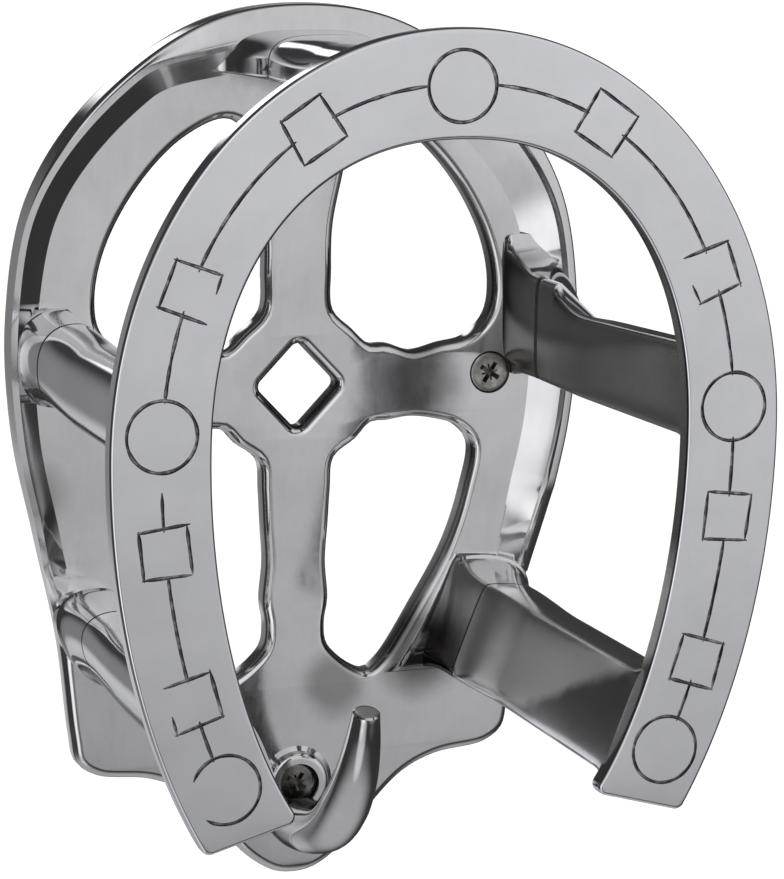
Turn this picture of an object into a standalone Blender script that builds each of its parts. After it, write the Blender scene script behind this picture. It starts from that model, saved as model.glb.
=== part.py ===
"""Cast metal wall bracket: a pierced back plate with a hook, and an engraved horseshoe in front of it.

Frame: metres, +Z up. The back plate lies against a wall at Y = 0 and the bracket reaches towards -Y.
X = 0 is the plane of symmetry. The origin is on the wall face, on the upright bar of the pierced cross.
"""

import math

import bmesh
import bpy
from mathutils import Matrix, Vector

MM = 0.001
GAP = 0.3 * MM  # air between two pieces that touch

# Depths, measured out from the wall
DEPTH = 93.0 * MM
PLATE_THICKNESS = 6.0 * MM
PLATE_EDGE_RADIUS = 1.3 * MM
RIDGE_HEIGHT = 3.0 * MM
FRONT_THICKNESS = 3.8 * MM
FRONT_EDGE_RADIUS = 0.8 * MM
SEAM_DEPTH = 21.0 * MM

# Front horseshoe: widest at FRONT_MID_Z, superellipses above it, ellipses below it
FRONT_MID_Z = -17.0 * MM
OUTER_HALF_WIDTH = 63.3 * MM
OUTER_TOP = 57.1 * MM
OUTER_POWER = 2.05
OUTER_FALL = 103.0 * MM
INNER_HALF_WIDTH = 45.0 * MM
INNER_TOP = 37.7 * MM
INNER_POWER = 2.25
INNER_FALL = 85.0 * MM
HEEL_OUTER_Z = -87.8 * MM
HEEL_INNER_Z = -82.9 * MM
HEEL_RADIUS = 2.2 * MM

# Engraving on the front horseshoe
MARK_CIRCLE_RADIUS = 6.5 * MM
MARK_SQUARE_SIDE = 8.9 * MM
GROOVE_WIDTH = 0.6 * MM
GROOVE_DEPTH = 0.4 * MM
MARK_HEIGHTS = (47.0 * MM, 40.0 * MM, 12.9 * MM, -12.0 * MM, -32.4 * MM, -59.4 * MM, -75.7 * MM)
MARK_SHAPES = ("circle", "square", "square", "circle", "square", "square", "circle")

# Arms at the seam, waist and front: middle of the section (X, Z), width along the limb, thickness
ARMS = {
    "top": (((0.0, 46.4), 24.0, 9.2), ((0.0, 46.4), 21.0, 9.2), ((0.0, 46.8), 22.0, 9.6)),
    "upper_right": (((51.4, -8.3), 20.8, 12.8), ((51.4, -10.7), 16.0, 12.8), ((51.4, -8.9), 17.4, 12.8)),
    "lower_right": (
        ((39.8, -69.9), 20.4, 17.2), ((40.8, -70.8), 19.6, 15.0), ((41.2, -70.8), 19.8, 14.4),
    ),
}
WAIST_DEPTHS = {"top": 42.0 * MM, "upper_right": 47.0 * MM, "lower_right": 42.0 * MM}
# How much of an arm's thickness belongs to its flat inner face; the rest is its round back
ARM_FLAT_DEPTH = 1.8 * MM
ARM_LEANS = {"top": 90.0, "upper_right": 0.0, "lower_right": 21.0}
ARM_NAMES = ("top", "upper_left", "upper_right", "lower_left", "lower_right")

# Screws
WALL_SCREW_XZ = {
    "wall_screw_left": (-41.3 * MM, -19.4 * MM),
    "wall_screw_right": (41.3 * MM, -19.4 * MM),
    "wall_screw_bottom": (0.0, -103.2 * MM),
}
SCREW_HEAD_RADIUS = 4.1 * MM
SCREW_SHANK_RADIUS = 2.0 * MM
SCREW_HEAD_HEIGHT = 2.3 * MM
SCREW_RIM_HEIGHT = 0.4 * MM
WALL_SCREW_LENGTH = 30.0 * MM
WALL_SCREW_POINT = 7.0 * MM
ARM_SCREW_LENGTH = 36.0 * MM
SCREW_SIDES = 18
SHARP_ANGLE = math.radians(32)
RECESS_LENGTH = 4.6 * MM
RECESS_WIDTH = 1.0 * MM
RECESS_DEPTH = 1.5 * MM
BOSS_RADIUS = 6.0 * MM
BOSS_HEIGHT = 2.0 * MM

# Hook: (distance from the wall, height, radius) along its centre line
HOOK_LINE = (
    (2.5, -111.0, 5.6),
    (9.0, -111.0, 5.6),
    (19.0, -109.0, 5.4),
    (29.0, -105.0, 5.2),
    (37.0, -98.4, 5.0),
    (43.0, -90.6, 4.3),
    (46.3, -83.3, 3.5),
    (48.0, -77.6, 2.8),
)

# Back plate outlines, right half, in millimetres (X, Z)
PLATE_HALF = (
    (0.0, 56.3), (20.6, 52.6), (42.0, 38.0), (55.0, 19.0), (59.4, -5.0), (58.4, -28.0), (54.3, -48.0),
    (49.6, -70.0), (47.2, -90.0), (46.0, -95.5), (42.0, -98.4), (31.0, -100.1), (24.0, -103.2),
    (17.0, -109.8), (11.3, -117.3), (4.6, -122.2),
)
PLATE_FOOT = (0.0, -123.0)
UPPER_WINDOW = (
    (7.3, 12.0), (7.1, 3.0), (7.5, -5.2), (11.6, -9.3), (15.4, -12.6), (19.4, -12.8), (24.8, -14.5),
    (31.0, -13.2), (36.6, -12.0), (41.0, -7.6), (42.0, -1.0), (39.8, 9.0), (33.0, 21.0), (24.0, 30.0),
    (15.5, 33.6), (11.4, 31.6), (9.3, 22.0),
)
LOWER_WINDOW = (
    (7.3, -42.0), (8.0, -35.6), (12.6, -32.0), (15.8, -28.8), (19.0, -28.6), (24.2, -28.0), (30.0, -28.8),
    (34.2, -30.2), (37.8, -34.2), (36.4, -44.0), (32.8, -55.0), (26.0, -67.2), (18.2, -79.0), (15.2, -80.8),
    (7.2, -74.8), (5.9, -70.0), (7.2, -65.0), (6.2, -57.0), (7.2, -49.0),
)
DIAMOND_CENTRE_Z = -20.4 * MM
DIAMOND_HALF_WIDTH = 8.8 * MM
DIAMOND_HALF_HEIGHT = 9.2 * MM
DIAMOND_CORNER = 2.0 * MM

# Raised ridge along the plate's edge: how far its crest is set in at the sides, the shoulders and the
# crown, and how wide its inner slope is low down and high up
RIDGE_END_Z = -62.0 * MM
RIDGE_CREST_INSET = (1.5 * MM, 2.8 * MM, 6.8 * MM)
RIDGE_SLOPE_WIDTH = (4.4 * MM, 5.8 * MM)

# Colours: base colour, roughness; every piece is metal
ALUMINIUM = ((0.62, 0.63, 0.65, 1.0), 0.18)
STEEL = ((0.42, 0.41, 0.38, 1.0), 0.32)


def clear_scene():
    for obj in list(bpy.data.objects):
        bpy.data.objects.remove(obj, do_unlink=True)


def new_collection(name):
    collection = bpy.data.collections.new(name)
    bpy.context.scene.collection.children.link(collection)
    return collection


def metal(name, look):
    colour, roughness = look
    material = bpy.data.materials.new(name)
    material.use_nodes = True
    shader = material.node_tree.nodes["Principled BSDF"]
    shader.inputs["Base Color"].default_value = colour
    shader.inputs["Metallic"].default_value = 1.0
    shader.inputs["Roughness"].default_value = roughness
    return material


# ---------------------------------------------------------------- outlines


def metres(points):
    return [(x * MM, z * MM) for x, z in points]


def catmull(a, b, c, d, t):
    """A point between b and c on the centripetal Catmull-Rom curve through four points."""
    a, b, c, d = (Vector(p) for p in (a, b, c, d))
    t0 = 0.0
    t1 = t0 + max((b - a).length, 1e-9) ** 0.5
    t2 = t1 + max((c - b).length, 1e-9) ** 0.5
    t3 = t2 + max((d - c).length, 1e-9) ** 0.5
    t = t1 + (t2 - t1) * t
    ab = a * ((t1 - t) / (t1 - t0)) + b * ((t - t0) / (t1 - t0))
    bc = b * ((t2 - t) / (t2 - t1)) + c * ((t - t1) / (t2 - t1))
    cd = c * ((t3 - t) / (t3 - t2)) + d * ((t - t2) / (t3 - t2))
    abc = ab * ((t2 - t) / (t2 - t0)) + bc * ((t - t0) / (t2 - t0))
    bcd = bc * ((t3 - t) / (t3 - t1)) + cd * ((t - t1) / (t3 - t1))
    return tuple(abc * ((t2 - t) / (t2 - t1)) + bcd * ((t - t1) / (t2 - t1)))


def smooth_loop(points, spacing):
    """A closed smooth loop through the points, with a vertex about every spacing."""
    loop = []
    count = len(points)
    for i in range(count):
        around = [points[(i + k) % count] for k in (-1, 0, 1, 2)]
        length = (Vector(around[2]) - Vector(around[1])).length
        steps = max(1, round(length / spacing))
        loop.extend(catmull(*around, k / steps) for k in range(steps))
    return loop


def mirrored(points):
    """The same loop on the other side of X = 0, still running the same way round."""
    return [(-x, z) for x, z in reversed(points)]


def rounded_polygon(corners, radius, steps):
    """A closed polygon whose corners are arcs of the given radius."""
    loop = []
    count = len(corners)
    for i in range(count):
        before, corner, after = (Vector(corners[(i + k) % count]) for k in (-1, 0, 1))
        to_before = (before - corner).normalized()
        to_after = (after - corner).normalized()
        half = to_before.angle(to_after) / 2
        middle = corner + (to_before + to_after).normalized() * (radius / math.sin(half))
        first = corner + to_before * (radius / math.tan(half)) - middle
        last = corner + to_after * (radius / math.tan(half)) - middle
        for k in range(steps + 1):
            loop.append(tuple(middle + first.slerp(last, k / steps) * radius))
    return loop


def circle(centre, radius, count):
    angles = [math.tau * k / count for k in range(count)]
    return [(centre[0] + radius * math.cos(a), centre[1] + radius * math.sin(a)) for a in angles]


def horseshoe_x(z, half_width, top, power, fall):
    """Half width of a horseshoe curve at height z."""
    if z >= FRONT_MID_Z:
        share = min(1.0, (z - FRONT_MID_Z) / (top - FRONT_MID_Z))
        return half_width * (1.0 - share**power) ** (1.0 / power)
    return half_width * math.sqrt(1.0 - ((z - FRONT_MID_Z) / fall) ** 2)


def horseshoe_side(half_width, top, power, fall, end_z, count):
    """Points down the right side of a horseshoe curve, from its top to end_z."""
    points = []
    for k in range(count):
        angle = math.pi / 2 * (1.0 - k / count)
        x = half_width * math.cos(angle) ** (2.0 / power)
        z = FRONT_MID_Z + (top - FRONT_MID_Z) * math.sin(angle) ** (2.0 / power)
        points.append((x, z))
    below = count * 2 // 3
    for k in range(below + 1):
        z = FRONT_MID_Z + (end_z - FRONT_MID_Z) * k / below
        points.append((horseshoe_x(z, half_width, top, power, fall), z))
    return points


def front_outline():
    """The front horseshoe's closed outline, heels rounded."""
    outer = horseshoe_side(OUTER_HALF_WIDTH, OUTER_TOP, OUTER_POWER, OUTER_FALL, HEEL_OUTER_Z, 21)
    inner = horseshoe_side(INNER_HALF_WIDTH, INNER_TOP, INNER_POWER, INNER_FALL, HEEL_INNER_Z, 17)
    heel = rounded_polygon([outer[-2], outer[-1], inner[-1], inner[-2]], HEEL_RADIUS, 4)[5:15]
    right = outer[:-1] + heel + inner[-2::-1]
    left = [(-x, z) for x, z in reversed(right) if x > 1e-7]
    return right + left


def plate_outline():
    half = metres(PLATE_HALF)
    whole = half + [(PLATE_FOOT[0] * MM, PLATE_FOOT[1] * MM)] + [(-x, z) for x, z in reversed(half[1:])]
    return smooth_loop(whole, 5.5 * MM)


def diamond_outline():
    corners = [
        (DIAMOND_HALF_WIDTH, DIAMOND_CENTRE_Z),
        (0.0, DIAMOND_CENTRE_Z + DIAMOND_HALF_HEIGHT),
        (-DIAMOND_HALF_WIDTH, DIAMOND_CENTRE_Z),
        (0.0, DIAMOND_CENTRE_Z - DIAMOND_HALF_HEIGHT),
    ]
    return rounded_polygon(corners, DIAMOND_CORNER, 4)


# ---------------------------------------------------------------- solids


def curve_to_mesh(curve_object, collection):
    """Replace a curve object by a closed mesh object of the same shape."""
    bpy.context.view_layer.update()
    evaluated = curve_object.evaluated_get(bpy.context.evaluated_depsgraph_get())
    mesh = bpy.data.meshes.new_from_object(evaluated)
    bm = bmesh.new()
    bm.from_mesh(mesh)
    bmesh.ops.remove_doubles(bm, verts=bm.verts, dist=0.00001)
    bmesh.ops.dissolve_degenerate(bm, edges=bm.edges, dist=0.000001)
    bmesh.ops.recalc_face_normals(bm, faces=bm.faces)
    bm.to_mesh(mesh)
    bm.free()
    name = curve_object.name
    place = curve_object.matrix_world.copy()
    bpy.data.objects.remove(curve_object, do_unlink=True)
    solid = bpy.data.objects.new(name, mesh)
    solid.matrix_world = place
    collection.objects.link(solid)
    return solid


def flat_solid(name, loops, front, back, edge_radius, collection):
    """A flat solid between two depths from the wall: first its outline's loop, then its holes' loops."""
    curve = bpy.data.curves.new(name, "CURVE")
    curve.dimensions = "2D"
    curve.fill_mode = "BOTH"
    curve.extrude = (front - back) / 2 - edge_radius
    curve.bevel_depth = edge_radius
    curve.bevel_resolution = 0
    curve.offset = -edge_radius
    for loop in loops:
        spline = curve.splines.new("POLY")
        spline.points.add(len(loop) - 1)
        for point, (x, z) in zip(spline.points, loop):
            point.co = (x, z, 0.0, 1.0)
        spline.use_cyclic_u = True
    drawn = bpy.data.objects.new(name, curve)
    drawn.rotation_euler = (math.pi / 2, 0.0, 0.0)
    drawn.location = (0.0, -(front + back) / 2, 0.0)
    collection.objects.link(drawn)
    return curve_to_mesh(drawn, collection)


def loft(name, rings, collection):
    """A closed solid through rings of equally many points, flat at both ends."""
    bm = bmesh.new()
    layers = [[bm.verts.new(point) for point in ring] for ring in rings]
    count = len(layers[0])
    for lower, upper in zip(layers, layers[1:]):
        for k in range(count):
            bm.faces.new((lower[k], lower[(k + 1) % count], upper[(k + 1) % count], upper[k]))
    bm.faces.new(reversed(layers[0]))
    bm.faces.new(layers[-1])
    bmesh.ops.recalc_face_normals(bm, faces=bm.faces)
    mesh = bpy.data.meshes.new(name)
    bm.to_mesh(mesh)
    bm.free()
    solid = bpy.data.objects.new(name, mesh)
    collection.objects.link(solid)
    return solid


def turned(name, profile, centre, count, collection):
    """A solid turned about a line along Y.

    The profile is (radius, distance from the wall) from one end to the other.
    """
    mesh = bpy.data.meshes.new(name)
    bm = bmesh.new()
    verts = [bm.verts.new((radius, 0.0, out)) for radius, out in profile]
    for lower, upper in zip(verts, verts[1:]):
        bm.edges.new((lower, upper))
    bm.to_mesh(mesh)
    bm.free()
    solid = bpy.data.objects.new(name, mesh)
    collection.objects.link(solid)
    solid.rotation_euler = (math.pi / 2, 0.0, 0.0)
    solid.location = (centre[0], 0.0, centre[1])
    screw = solid.modifiers.new("turn", "SCREW")
    screw.steps = count
    screw.render_steps = count
    screw.use_merge_vertices = True
    screw.merge_threshold = 0.00001
    return solid


def boolean(target, tool, operation, cutters):
    """Add a Boolean modifier and put its tool away as a hidden cutter."""
    modifier = target.modifiers.new(operation.lower(), "BOOLEAN")
    modifier.operation = operation
    modifier.solver = "EXACT"
    modifier.object = tool
    for collection in list(tool.users_collection):
        collection.objects.unlink(tool)
    cutters.objects.link(tool)
    tool.hide_render = True
    tool.display_type = "WIRE"


# ---------------------------------------------------------------- arms and their stubs


def eased(value, low, high):
    """A smooth step from 0 at low to 1 at high."""
    share = max(0.0, min(1.0, (value - low) / (high - low)))
    return share * share * (3 - 2 * share)


def arm_section(name, out):
    """Centre, width and thickness of an arm's section at a distance from the wall, in metres."""
    seam, waist, front = ARMS[name.replace("left", "right")]
    waist_depth = WAIST_DEPTHS[name.replace("left", "right")]
    if out < waist_depth:
        first, last, share = seam, waist, eased(out, SEAM_DEPTH, waist_depth)
    else:
        first, last, share = waist, front, (out - waist_depth) / (DEPTH - waist_depth)
    centre = Vector(first[0]).lerp(Vector(last[0]), share) * MM
    width = (first[1] + (last[1] - first[1]) * share) * MM
    thickness = (first[2] + (last[2] - first[2]) * share) * MM
    if name.endswith("left"):
        centre.x = -centre.x
    return centre, width, thickness


def arm_ring(name, out, side=0.0, inner=0.0, outer=0.0, count=20):
    """One section of an arm: flat towards the middle of the bracket, round on the outside.

    side, inner and outer grow it along the limb, towards the middle and away from it.
    """
    centre, width, thickness = arm_section(name, out)
    hand = -1.0 if name.endswith("left") else 1.0
    lean = math.radians(ARM_LEANS[name.replace("left", "right")]) * hand
    along = Vector((math.sin(lean), math.cos(lean)))
    away = Vector((0.0, 1.0)) if name == "top" else Vector((hand, 0.0))
    ring = []
    split = ARM_FLAT_DEPTH - thickness / 2
    for k in range(count):
        angle = math.tau * (k + 0.5) / count
        cosine, sine = math.cos(angle), math.sin(angle)
        if sine > 0:
            span, power = thickness - ARM_FLAT_DEPTH + outer, 2.3
        else:
            span, power = ARM_FLAT_DEPTH + inner, 4.5
        u = (width / 2 + side) * math.copysign(abs(cosine) ** (2 / power), cosine)
        v = split + span * math.copysign(abs(sine) ** (2 / power), sine)
        point = centre + along * u + away * v
        ring.append((point.x, -out, point.y))
    return ring


def arm_solid(name, collection):
    """One arm, from the seam to inside the front horseshoe."""
    start = SEAM_DEPTH + GAP
    root = DEPTH - FRONT_THICKNESS
    stations = (
        (start, -0.5 * MM), (start + 0.6 * MM, 0.0), (27.0 * MM, 0.0), (34.0 * MM, 0.0), (41.0 * MM, 0.0),
        (47.0 * MM, 0.0), (root - 3 * MM, 0.1 * MM), (root - 1 * MM, 0.6 * MM), (root + 1 * MM, 1.1 * MM),
    )
    rings = [arm_ring(name, out, grow, min(grow, 0.0), grow) for out, grow in stations]
    return loft("arm_" + name, rings, collection)


def stub_solid(name, collection):
    """The stub that an arm is screwed to, spreading into the plate and its ridge."""
    spread = (
        (PLATE_THICKNESS - 1.5 * MM, 3.0 * MM, 1.2 * MM, 0.8 * MM),
        (PLATE_THICKNESS + 0.4 * MM, 2.5 * MM, 0.9 * MM, 0.7 * MM),
        (PLATE_THICKNESS + 2.6 * MM, 1.5 * MM, 0.4 * MM, 0.5 * MM),
        (PLATE_THICKNESS + 6.0 * MM, 0.7 * MM, 0.1 * MM, 0.2 * MM),
        (PLATE_THICKNESS + 10.0 * MM, 0.2 * MM, 0.0, 0.0),
        (SEAM_DEPTH - 0.6 * MM, 0.0, 0.0, 0.0),
        (SEAM_DEPTH, -0.5 * MM, -0.5 * MM, -0.5 * MM),
    )
    rings = [arm_ring(name, out, side, inner, outer) for out, side, inner, outer in spread]
    return loft("stub_" + name, rings, collection)


# ---------------------------------------------------------------- ridge, hook and boss


def ridge_solid(collection):
    """The raised edge: a band swept from one lower stub over the top to the other."""
    outline = plate_outline()
    lower = min(range(len(outline)), key=lambda k: abs(outline[k][1] - RIDGE_END_Z) + (outline[k][0] < 0))
    path = [(-x, z) for x, z in reversed(outline[1:lower + 1])] + outline[:lower + 1]
    rings = []
    for k, here in enumerate(path):
        before = Vector(path[max(k - 1, 0)])
        after = Vector(path[min(k + 1, len(path) - 1)])
        along = (after - before).normalized()
        inward = Vector((along.y, -along.x))
        side, shoulder, crown = RIDGE_CREST_INSET
        crest = side + (shoulder - side) * eased(here[1], 10 * MM, 43 * MM)
        crest += (crown - shoulder) * eased(here[1], 44 * MM, 55 * MM)
        lower_slope, upper_slope = RIDGE_SLOPE_WIDTH
        slope = lower_slope + (upper_slope - lower_slope) * eased(here[1], -40 * MM, 20 * MM)
        end_share = min(1.0, min(k, len(path) - 1 - k) / 4)
        rise = RIDGE_HEIGHT * end_share
        section = (
            (0.6 * MM, PLATE_THICKNESS - 3.0 * MM),
            (0.6 * MM, PLATE_THICKNESS - 1.0 * MM),
            (0.75 * MM, PLATE_THICKNESS - 0.5 * MM + rise * 0.9),
            (1.2 * MM, PLATE_THICKNESS - 0.1 * MM + rise * 0.97),
            (crest, PLATE_THICKNESS - 0.1 * MM + rise),
            (crest + slope * 0.5, PLATE_THICKNESS - 0.1 * MM + rise * 0.54),
            (crest + slope, PLATE_THICKNESS - 0.1 * MM),
            (crest + slope, PLATE_THICKNESS - 3.0 * MM),
        )
        rings.append([
            (here[0] + inward.x * inset, -out, here[1] + inward.y * inset) for inset, out in section
        ])
    return loft("ridge", rings, collection)


def hook_solid(collection):
    """The tapered horn that rises in front of the plate, blunt at its tip."""
    curve = bpy.data.curves.new("hook", "CURVE")
    curve.dimensions = "3D"
    curve.bevel_depth = 1.0
    curve.bevel_resolution = 3
    curve.resolution_u = 3
    curve.use_fill_caps = True
    spline = curve.splines.new("BEZIER")
    spline.bezier_points.add(len(HOOK_LINE) - 1)
    for point, (out, height, radius) in zip(spline.bezier_points, HOOK_LINE):
        point.co = (0.0, -out * MM, height * MM)
        point.radius = radius * MM
        point.handle_left_type = "AUTO"
        point.handle_right_type = "AUTO"
    drawn = bpy.data.objects.new("hook", curve)
    collection.objects.link(drawn)
    return curve_to_mesh(drawn, collection)


def boss_solid(collection):
    """The raised ring round the bottom screw hole."""
    top = PLATE_THICKNESS + BOSS_HEIGHT
    profile = (
        (0.0, top), (BOSS_RADIUS - 1.2 * MM, top), (BOSS_RADIUS - 0.4 * MM, top - 0.4 * MM),
        (BOSS_RADIUS, top - 1.2 * MM), (BOSS_RADIUS + 0.8 * MM, PLATE_THICKNESS - 0.4 * MM),
        (BOSS_RADIUS + 0.8 * MM, PLATE_THICKNESS - 2.0 * MM), (0.0, PLATE_THICKNESS - 2.0 * MM),
    )
    return turned("boss", profile, WALL_SCREW_XZ["wall_screw_bottom"], 24, collection)


# ---------------------------------------------------------------- screws and their holes


def countersunk_profile(head_top, direction, length, point, grow):
    """(radius, distance from the wall) of a countersunk screw whose head top is at head_top.

    direction is -1 for a screw that runs towards the wall and 1 for one that runs away from it.
    """
    head = SCREW_HEAD_RADIUS + grow
    shank = SCREW_SHANK_RADIUS + grow
    rim_end = head_top + direction * SCREW_RIM_HEIGHT
    cone_end = head_top + direction * SCREW_HEAD_HEIGHT
    shank_end = head_top + direction * (length - point)
    tip = head_top + direction * (length + grow)
    profile = [(0.0, head_top), (head, head_top), (head, rim_end), (shank, cone_end), (shank, shank_end)]
    if point:
        profile += [(0.15 * MM, tip), (0.0, tip)]
    else:
        profile += [(shank, tip), (0.0, tip)]
    return profile if direction < 0 else list(reversed(profile))


def cross_recess(name, centre, head_top, direction, cutters):
    """The cross-shaped driver recess in a screw head, as two crossed blades."""
    blades = []
    for turn in (math.pi / 4, -math.pi / 4):
        bpy.ops.mesh.primitive_cube_add(size=1.0)
        blade = bpy.context.object
        blade.name = name
        blade.scale = (RECESS_LENGTH, 2 * RECESS_DEPTH, RECESS_WIDTH)
        blade.location = (centre[0], -head_top, centre[1])
        blade.rotation_euler = (0.0, turn + 0.21 * direction, 0.0)
        for collection in list(blade.users_collection):
            collection.objects.unlink(blade)
        cutters.objects.link(blade)
        blades.append(blade)
    return blades


def screw(name, centre, head_top, direction, length, point, parts, cutters, material):
    profile = countersunk_profile(head_top, direction, length, point, 0.0)
    solid = turned(name, profile, centre, SCREW_SIDES, parts)
    for blade in cross_recess(name + "_recess", centre, head_top, direction, cutters):
        boolean(solid, blade, "DIFFERENCE", cutters)
    solid.data.materials.append(material)
    return solid


def screw_hole(name, centre, head_top, direction, length, collection):
    """A clearance hole for a countersunk screw, open above its head."""
    head = SCREW_HEAD_RADIUS + GAP
    shank = SCREW_SHANK_RADIUS + GAP
    mouth = head_top - direction * 8 * MM
    profile = [
        (0.0, mouth), (head, mouth), (head, head_top + direction * (SCREW_RIM_HEIGHT + 0.1 * MM)),
        (shank, head_top + direction * (SCREW_HEAD_HEIGHT + 0.4 * MM)),
        (shank, head_top + direction * (length + GAP)), (0.0, head_top + direction * (length + GAP)),
    ]
    ordered = profile if direction < 0 else list(reversed(profile))
    return turned(name, ordered, centre, SCREW_SIDES, collection)


# ---------------------------------------------------------------- engraving


def mark_places():
    """Centre, outward lean and shape of each mark, right side from the top down, then the left side."""
    places = []
    for z, shape in zip(MARK_HEIGHTS, MARK_SHAPES):
        x = 0.0 if z == MARK_HEIGHTS[0] else middle_x(z)
        lean = middle_lean(z)
        places.append((x, z, lean, shape))
    return places + [(-x, z, -lean, shape) for x, z, lean, shape in places[1:]]


def middle_x(z):
    """Half width of the line down the middle of the horseshoe's limb."""
    return horseshoe_x(
        z, (OUTER_HALF_WIDTH + INNER_HALF_WIDTH) / 2, (OUTER_TOP + INNER_TOP) / 2,
        (OUTER_POWER + INNER_POWER) / 2, (OUTER_FALL + INNER_FALL) / 2,
    )


def middle_lean(z):
    """Angle of the limb's middle line from the vertical at height z, in radians."""
    step = 0.5 * MM
    return math.atan2(middle_x(z) - middle_x(z - step), step)


def mark_loops(x, z, lean, shape, grow):
    """The outline of one mark, grown outwards by grow."""
    if shape == "circle":
        return circle((x, z), MARK_CIRCLE_RADIUS + grow, 24)
    half = MARK_SQUARE_SIDE / 2 + grow
    spin = Matrix.Rotation(-lean, 2)
    return [tuple(Vector((x, z)) + spin @ Vector(c)) for c in
            ((-half, -half), (half, -half), (half, half), (-half, half))]


def engrave(front, cutters):
    """Cut each circle and square into the front face as a narrow groove."""
    for number, place in enumerate(mark_places()):
        loops = [mark_loops(*place, 0.0), mark_loops(*place, -GROOVE_WIDTH)]
        bottom = DEPTH - GROOVE_DEPTH
        groove = flat_solid("groove_%02d" % number, loops, DEPTH + 1 * MM, bottom, 0.0, cutters)
        boolean(front, groove, "DIFFERENCE", cutters)


# ---------------------------------------------------------------- the two castings


def build_back_plate(parts, cutters, material):
    windows = [smooth_loop(metres(w), 4.0 * MM) for w in (UPPER_WINDOW, LOWER_WINDOW)]
    loops = [plate_outline()] + windows + [mirrored(w) for w in windows] + [diamond_outline()]
    plate = flat_solid("back_plate", loops, PLATE_THICKNESS, 0.0, PLATE_EDGE_RADIUS, parts)
    additions = [ridge_solid(cutters), hook_solid(cutters), boss_solid(cutters)]
    additions += [stub_solid(name, cutters) for name in ARM_NAMES]
    for addition in additions:
        boolean(plate, addition, "UNION", cutters)
    for name, centre in WALL_SCREW_XZ.items():
        hole = screw_hole(name + "_hole", centre, wall_screw_top(name), -1, WALL_SCREW_LENGTH, cutters)
        boolean(plate, hole, "DIFFERENCE", cutters)
    for name in ARM_NAMES:
        hole = screw_hole("back_hole_" + name, arm_screw_centre(name), GAP, 1, ARM_SCREW_LENGTH, cutters)
        boolean(plate, hole, "DIFFERENCE", cutters)
    plate.data.materials.append(material)
    return plate


def build_front_horseshoe(parts, cutters, material):
    front = flat_solid(
        "front_horseshoe", [front_outline()], DEPTH, DEPTH - FRONT_THICKNESS, FRONT_EDGE_RADIUS, parts
    )
    for name in ARM_NAMES:
        boolean(front, arm_solid(name, cutters), "UNION", cutters)
        hole = screw_hole("front_hole_" + name, arm_screw_centre(name), GAP, 1, ARM_SCREW_LENGTH, cutters)
        boolean(front, hole, "DIFFERENCE", cutters)
    engrave(front, cutters)
    front.data.materials.append(material)
    return front


def wall_screw_top(name):
    """How far a wall screw's head top stands from the wall."""
    return PLATE_THICKNESS + (0.5 * MM if name == "wall_screw_bottom" else 0.0)


def arm_screw_centre(name):
    centre = arm_section(name, SEAM_DEPTH)[0]
    return (centre.x, centre.y)


def main():
    clear_scene()
    parts = new_collection("horseshoe_wall_bracket")
    cutters = new_collection("cutters")
    aluminium = metal("polished_aluminium", ALUMINIUM)
    steel = metal("zinc_plated_steel", STEEL)
    build_back_plate(parts, cutters, aluminium)
    build_front_horseshoe(parts, cutters, aluminium)
    for name, centre in WALL_SCREW_XZ.items():
        top = wall_screw_top(name)
        screw(name, centre, top, -1, WALL_SCREW_LENGTH, WALL_SCREW_POINT, parts, cutters, steel)
    for name in ARM_NAMES:
        centre = arm_screw_centre(name)
        screw("arm_screw_" + name, centre, GAP, 1, ARM_SCREW_LENGTH, 0.0, parts, cutters, steel)
    for piece in parts.objects:
        piece.data.shade_smooth()
        piece.data.set_sharp_from_angle(angle=SHARP_ANGLE)


main()
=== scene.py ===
"""Looks for the horseshoe wall bracket: two polished castings, wall screws and assembly screws.

Frame: metres, +Z up. The back casting lies on the wall plane Y = 0 and the bracket reaches towards -Y.
"""

import math
import random

import bmesh
import bpy
from mathutils import Matrix, Quaternion, Vector, noise


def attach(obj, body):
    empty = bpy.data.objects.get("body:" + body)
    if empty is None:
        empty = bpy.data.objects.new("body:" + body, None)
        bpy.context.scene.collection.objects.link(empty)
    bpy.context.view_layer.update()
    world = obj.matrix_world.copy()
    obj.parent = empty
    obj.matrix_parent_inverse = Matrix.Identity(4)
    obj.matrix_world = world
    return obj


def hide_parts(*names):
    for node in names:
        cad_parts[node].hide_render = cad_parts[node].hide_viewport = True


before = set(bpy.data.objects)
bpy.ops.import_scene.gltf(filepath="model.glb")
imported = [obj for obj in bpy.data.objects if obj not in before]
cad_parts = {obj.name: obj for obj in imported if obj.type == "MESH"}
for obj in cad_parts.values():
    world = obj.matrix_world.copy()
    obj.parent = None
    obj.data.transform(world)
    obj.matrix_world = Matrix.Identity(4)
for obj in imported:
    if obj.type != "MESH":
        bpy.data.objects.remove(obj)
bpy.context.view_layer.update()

MM = 0.001
RNG = random.Random(7)

# ---------------------------------------------------------------- sizes: metres, bare points in millimetres

DEPTH = 93.0 * MM
PLATE_THICKNESS = 6.0 * MM
PLATE_EDGE_RADIUS = 1.9 * MM
RIDGE_HEIGHT = 3.0 * MM
FRONT_THICKNESS = 3.8 * MM
FRONT_EDGE_RADIUS = 0.7 * MM
SEAM_DEPTH = 21.0 * MM
GAP = 0.3 * MM

FRONT_MID_Z = -17.0 * MM
OUTER_CURVE = (63.25 * MM, 57.0 * MM, 2.05, 103.0 * MM)  # half width, top, power above, fall below
INNER_CURVE = (45.0 * MM, 37.7 * MM, 2.25, 85.0 * MM)
MIDDLE_CURVE = tuple((a + b) / 2 for a, b in zip(OUTER_CURVE, INNER_CURVE))
HEEL_OUTER_Z = -87.8 * MM
HEEL_INNER_Z = -82.9 * MM
HEEL_RADIUS = 1.7 * MM

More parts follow.
